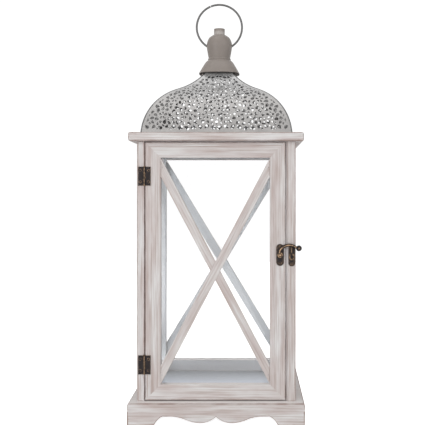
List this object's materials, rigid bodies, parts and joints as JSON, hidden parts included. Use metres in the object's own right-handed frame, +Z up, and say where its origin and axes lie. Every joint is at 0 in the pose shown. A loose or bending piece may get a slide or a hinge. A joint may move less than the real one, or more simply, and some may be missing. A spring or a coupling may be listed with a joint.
{
  "type": "hurricane candle lantern",
  "caption": "Tall glazed wooden candle lantern with a hinged cross-barred door, horn latch, scalloped base, pierced metal dome, finial and swinging ring handle.",
  "frame": {"origin": "centre of the lantern's plan, on the surface that it stands on", "axes": "+Z up along the lantern's axis, -Y out through the door, +X to the right as seen from the front (the latch side)"},
  "size_m": [0.28, 0.28, 0.6937],
  "materials": {
    "whitewashed_wood": "whitewash rubbed over open-grained softwood",
    "clear_glass": "clear float glass",
    "galvanised_sheet": "matt zinc grey, pierced",
    "painted_finial": "satin taupe grey paint",
    "plain_steel": "zinc plated",
    "aged_bronze": "dark antique bronze, rubbed to gold on the edges",
    "ring_wire": "drawn grey wire"
  },
  "bodies": {
    "frame": {"base_front_apron": "whitewashed_wood", "base_rear_apron": "whitewashed_wood", "base_left_apron": "whitewashed_wood", "base_right_apron": "whitewashed_wood", "base_board": "whitewashed_wood", "front_left_post": "whitewashed_wood", "front_right_post": "whitewashed_wood", "rear_left_post": "whitewashed_wood", "rear_right_post": "whitewashed_wood", "rear_top_rail": "whitewashed_wood", "rear_bottom_rail": "whitewashed_wood", "left_top_rail": "whitewashed_wood", "left_bottom_rail": "whitewashed_wood", "right_top_rail": "whitewashed_wood", "right_bottom_rail": "whitewashed_wood", "rear_cross_bar_rising": "whitewashed_wood", "rear_cross_bar_falling": "whitewashed_wood", "left_cross_bar_rising": "whitewashed_wood", "left_cross_bar_falling": "whitewashed_wood", "right_cross_bar_rising": "whitewashed_wood", "right_cross_bar_falling": "whitewashed_wood", "roof_board": "whitewashed_wood", "frame_dowels": "whitewashed_wood", "door_stop_strip": "whitewashed_wood", "rear_glass": "clear_glass", "left_glass": "clear_glass", "right_glass": "clear_glass", "dome_front_panel": "galvanised_sheet", "dome_rear_panel": "galvanised_sheet", "dome_left_panel": "galvanised_sheet", "dome_right_panel": "galvanised_sheet", "dome_crown_plate": "galvanised_sheet", "finial_skirt": "painted_finial", "finial_bulb": "painted_finial", "finial_cap": "painted_finial", "finial_bolt_and_nut": "plain_steel", "dome_fixing_screws": "plain_steel", "frame_screws": "plain_steel", "upper_hinge_post_leaf": "aged_bronze", "lower_hinge_post_leaf": "aged_bronze", "hinge_pins": "aged_bronze", "post_hardware_screws": "aged_bronze", "catch_plate": "aged_bronze"},
    "door": {"door_hinge_stile": "whitewashed_wood", "door_latch_stile": "whitewashed_wood", "door_top_rail": "whitewashed_wood", "door_bottom_rail": "whitewashed_wood", "door_cross_bar_rising": "whitewashed_wood", "door_cross_bar_falling": "whitewashed_wood", "door_glass": "clear_glass", "door_bar_brads": "plain_steel", "upper_hinge_door_leaf": "aged_bronze", "lower_hinge_door_leaf": "aged_bronze", "door_hardware_screws": "aged_bronze", "latch_plate": "aged_bronze", "latch_pivot_rivet": "aged_bronze"},
    "hook": {"latch_hook": "aged_bronze"},
    "ring": {"ring_handle": "ring_wire"}
  },
  "joints": [
    {"name": "door_swing", "type": "hinge", "parent": "frame", "child": "door", "pos_m": [-0.1141, -0.1276, 0.242], "axis": [0, 0, -1], "range_deg": [0, 170]},
    {"name": "latch_lift", "type": "hinge", "parent": "door", "child": "hook", "pos_m": [0.1012, -0.12925, 0.2667], "axis": [0, -1, 0], "range_deg": [0, 110]},
    {"name": "ring_swing", "type": "hinge", "parent": "frame", "child": "ring", "pos_m": [0, 0, 0.62013], "axis": [1, 0, 0], "range_deg": [-140, 140]}
  ]
}
